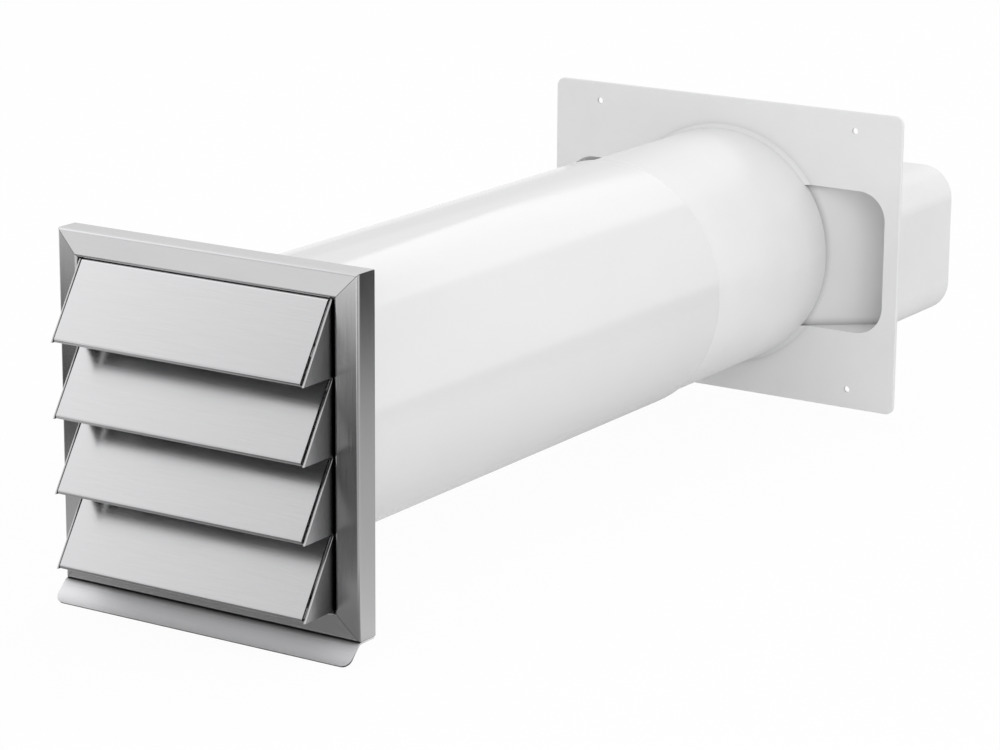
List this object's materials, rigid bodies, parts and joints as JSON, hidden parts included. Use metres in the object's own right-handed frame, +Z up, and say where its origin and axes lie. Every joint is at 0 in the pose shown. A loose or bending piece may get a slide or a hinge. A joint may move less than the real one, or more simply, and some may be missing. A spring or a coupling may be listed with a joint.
{
  "type": "wall vent sleeve",
  "caption": "Through-wall vent sleeve: square steel louvre with fixed slats and drip edge, round tube, and room adaptor with cover plate and flat duct spigot.",
  "frame": {"origin": "on the tube's axis at the face of the outer wall, where the back of the louvre rests", "axes": "+Y along the tube from outside into the room, +Z up, +X to the right as seen from outside"},
  "size_m": [0.248, 0.6497, 0.2009],
  "materials": {
    "stainless": "fine brushed satin stainless steel",
    "tube_white": "glossy white extruded plastic",
    "adaptor_white": "white moulded plastic, glossy on the collar and satin on the plate"
  },
  "bodies": {
    "root": {"frame_bar_top": "stainless", "frame_bar_bottom": "stainless", "frame_bar_left": "stainless", "frame_bar_right": "stainless", "back_plate": "stainless", "tube_collar": "stainless", "side_plate_left": "stainless", "side_plate_right": "stainless", "slat_1": "stainless", "slat_2": "stainless", "slat_3": "stainless", "slat_4": "stainless", "drip_edge": "stainless", "wall_tube": "tube_white", "room_adaptor": "adaptor_white"}
  },
  "joints": []
}
